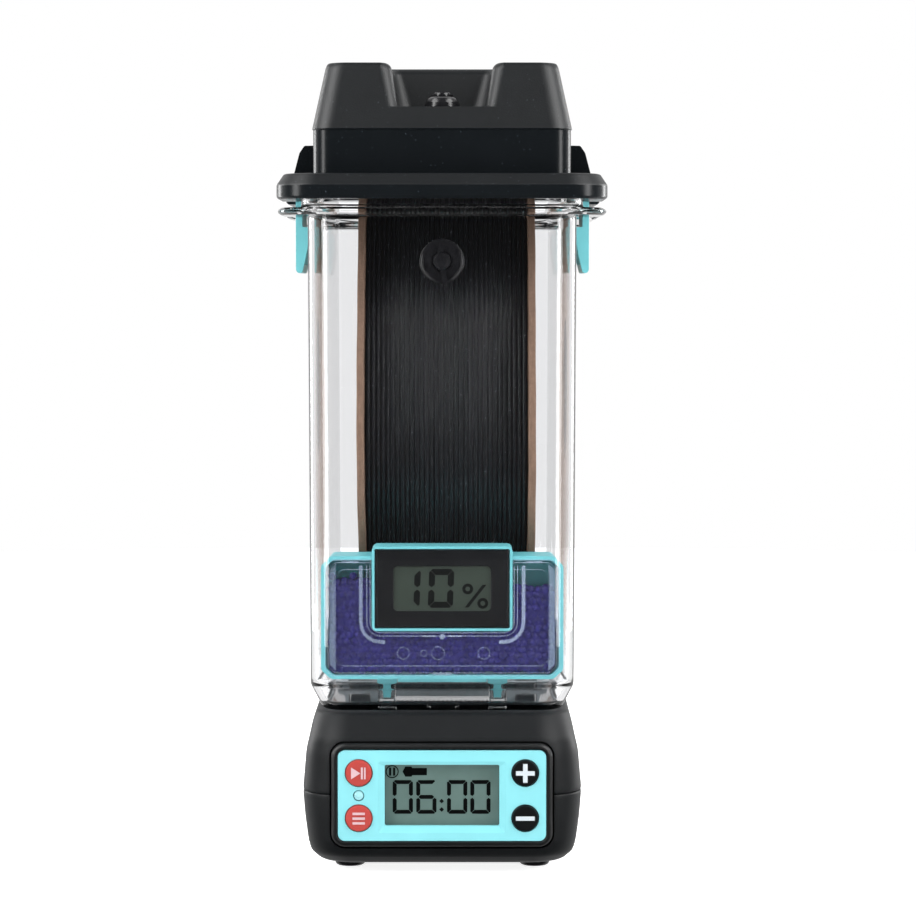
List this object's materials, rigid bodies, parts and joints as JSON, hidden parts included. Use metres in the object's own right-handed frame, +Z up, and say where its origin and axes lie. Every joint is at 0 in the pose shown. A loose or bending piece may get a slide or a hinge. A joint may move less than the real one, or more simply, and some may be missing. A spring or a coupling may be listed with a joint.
{
  "type": "filament dryer box",
  "caption": "Clear upright box that holds and dries a filament spool on a heated dock, with a latched lid, desiccant cartridge, hygrometer and control panel.",
  "frame": {"origin": "on the table under the middle of the object, level with the soles of the feet", "axes": "+Z up, -Y towards the control panel at the front, +X to the right seen from the front"},
  "size_m": [0.118, 0.25, 0.29],
  "materials": {
    "dock_plastic": "fine spark-eroded texture",
    "lid_plastic": "fine spark-eroded texture",
    "teal_plastic": "smooth satin",
    "panel_plastic": "smooth satin",
    "red_plastic": "satin",
    "black_button_plastic": "satin",
    "clear_plastic": "polished",
    "display_glass": "polished",
    "meter_glass": "polished",
    "black_rubber": "matt",
    "cardboard": "raw fibre",
    "filament": "satin, wound in ridges",
    "silica_beads": "loose beads",
    "steel": "turned",
    "aluminium": "extruded",
    "circuit_board": "solder resist",
    "hidden_plastic": "plain moulded"
  },
  "bodies": {
    "dock": {"dock_upper_shell": "dock_plastic", "dock_lower_shell": "dock_plastic", "panel_bezel": "dock_plastic", "control_panel": "panel_plastic", "display_lcd": "display_glass", "status_light": "clear_plastic", "control_board": "circuit_board", "blower_housing": "hidden_plastic", "heater_core": "aluminium", "air_duct": "hidden_plastic", "power_jack": "dock_plastic", "port_seal_supply": "black_rubber", "port_seal_return": "black_rubber", "foot_front_left": "black_rubber", "foot_front_right": "black_rubber", "foot_rear_left": "black_rubber", "foot_rear_right": "black_rubber", "base_screw_front_left": "steel", "base_screw_front_right": "steel", "base_screw_rear_left": "steel", "base_screw_rear_right": "steel"},
    "start_pause_button": {"button_start_pause": "red_plastic"},
    "mode_button": {"button_mode": "red_plastic"},
    "plus_button": {"button_plus": "black_button_plastic"},
    "minus_button": {"button_minus": "black_button_plastic"},
    "impeller": {"blower_impeller": "hidden_plastic"},
    "box": {"box_shell": "clear_plastic", "roller_cradle": "hidden_plastic", "roller_axle_front": "steel", "roller_axle_rear": "steel", "valve_seat_supply": "black_rubber", "valve_seat_return": "black_rubber", "port_grommet_front": "black_rubber"},
    "spool": {"spool_flange_left": "cardboard", "spool_flange_right": "cardboard", "spool_core": "cardboard", "filament_winding": "filament"},
    "cartridge": {"cartridge_tray": "teal_plastic", "cartridge_cover": "clear_plastic", "silica_gel": "silica_beads", "hygrometer_body": "black_button_plastic", "hygrometer_lcd": "meter_glass", "button_cell": "steel"},
    "supply_valve": {"valve_disc_supply": "hidden_plastic"},
    "return_valve": {"valve_disc_return": "hidden_plastic"},
    "front_plug": {"port_plug_front": "black_rubber"},
    "lid": {"lid_shell": "lid_plastic", "lid_gasket": "black_rubber", "port_grommet_lid": "black_rubber"},
    "lid_plug": {"port_plug_lid": "black_rubber"},
    "front_left_roller": {"roller_front_left": "steel"},
    "front_right_roller": {"roller_front_right": "steel"},
    "rear_left_roller": {"roller_rear_left": "steel"},
    "rear_right_roller": {"roller_rear_right": "steel"},
    "front_left_latch": {"latch_front_left": "teal_plastic"},
    "front_right_latch": {"latch_front_right": "teal_plastic"},
    "rear_left_latch": {"latch_rear_left": "teal_plastic"},
    "rear_right_latch": {"latch_rear_right": "teal_plastic"}
  },
  "joints": [
    {"name": "box_lift", "type": "slide", "parent": "dock", "child": "box", "axis": [0, 0, 1], "range_m": [0, 0.08]},
    {"name": "lid_lift", "type": "slide", "parent": "box", "child": "lid", "axis": [0, 0, 1], "range_m": [0, 0.08]},
    {"name": "spool_turn", "type": "hinge", "parent": "box", "child": "spool", "pos_m": [0.0015, 0, 0.1704], "axis": [1, 0, 0], "continuous": true},
    {"name": "cartridge_lift", "type": "slide", "parent": "box", "child": "cartridge", "axis": [0, 0, 1], "range_m": [0, 0.008]},
    {"name": "supply_valve_lift", "type": "slide", "parent": "box", "child": "supply_valve", "axis": [0, 0, 1], "range_m": [0, 0.004]},
    {"name": "return_valve_lift", "type": "slide", "parent": "box", "child": "return_valve", "axis": [0, 0, 1], "range_m": [0, 0.004]},
    {"name": "front_plug_pull", "type": "slide", "parent": "box", "child": "front_plug", "axis": [0, -1, 0], "range_m": [0, 0.015]},
    {"name": "lid_plug_pull", "type": "slide", "parent": "lid", "child": "lid_plug", "axis": [0, 0, 1], "range_m": [0, 0.015]},
    {"name": "impeller_spin", "type": "hinge", "parent": "dock", "child": "impeller", "pos_m": [0, 0.078, 0.014], "axis": [0, 0, 1], "continuous": true},
    {"name": "start_pause_press", "type": "slide", "parent": "dock", "child": "start_pause_button", "axis": [0, 1, 0], "range_m": [0, 0.0008]},
    {"name": "mode_press", "type": "slide", "parent": "dock", "child": "mode_button", "axis": [0, 1, 0], "range_m": [0, 0.0008]},
    {"name": "plus_press", "type": "slide", "parent": "dock", "child": "plus_button", "axis": [0, 1, 0], "range_m": [0, 0.0008]},
    {"name": "minus_press", "type": "slide", "parent": "dock", "child": "minus_button", "axis": [0, 1, 0], "range_m": [0, 0.0008]},
    {"name": "front_left_roller_turn", "type": "hinge", "parent": "box", "child": "front_left_roller", "pos_m": [-0.03105, -0.058, 0.07517], "axis": [1, 0, 0], "continuous": true},
    {"name": "front_right_roller_turn", "type": "hinge", "parent": "box", "child": "front_right_roller", "pos_m": [0.03105, -0.058, 0.07517], "axis": [1, 0, 0], "continuous": true},
    {"name": "rear_left_roller_turn", "type": "hinge", "parent": "box", "child": "rear_left_roller", "pos_m": [-0.03105, 0.058, 0.07517], "axis": [1, 0, 0], "continuous": true},
    {"name": "rear_right_roller_turn", "type": "hinge", "parent": "box", "child": "rear_right_roller", "pos_m": [0.03105, 0.058, 0.07517], "axis": [1, 0, 0], "continuous": true},
    {"name": "front_left_latch_swing", "type": "hinge", "parent": "lid", "child": "front_left_latch", "pos_m": [-0.0494, -0.065, 0.2546], "axis": [0, 1, 0], "range_deg": [0, 100]},
    {"name": "front_right_latch_swing", "type": "hinge", "parent": "lid", "child": "front_right_latch", "pos_m": [0.0494, -0.065, 0.2546], "axis": [0, -1, 0], "range_deg": [0, 100]},
    {"name": "rear_left_latch_swing", "type": "hinge", "parent": "lid", "child": "rear_left_latch", "pos_m": [-0.0494, 0.065, 0.2546], "axis": [0, 1, 0], "range_deg": [0, 100]},
    {"name": "rear_right_latch_swing", "type": "hinge", "parent": "lid", "child": "rear_right_latch", "pos_m": [0.0494, 0.065, 0.2546], "axis": [0, -1, 0], "range_deg": [0, 100]}
  ],
  "couplings": [
    {"joint": "front_left_roller_turn", "follows": "spool_turn", "ratio": -9.0909},
    {"joint": "front_right_roller_turn", "follows": "spool_turn", "ratio": -9.0909},
    {"joint": "rear_left_roller_turn", "follows": "spool_turn", "ratio": -9.0909},
    {"joint": "rear_right_roller_turn", "follows": "spool_turn", "ratio": -9.0909}
  ]
}
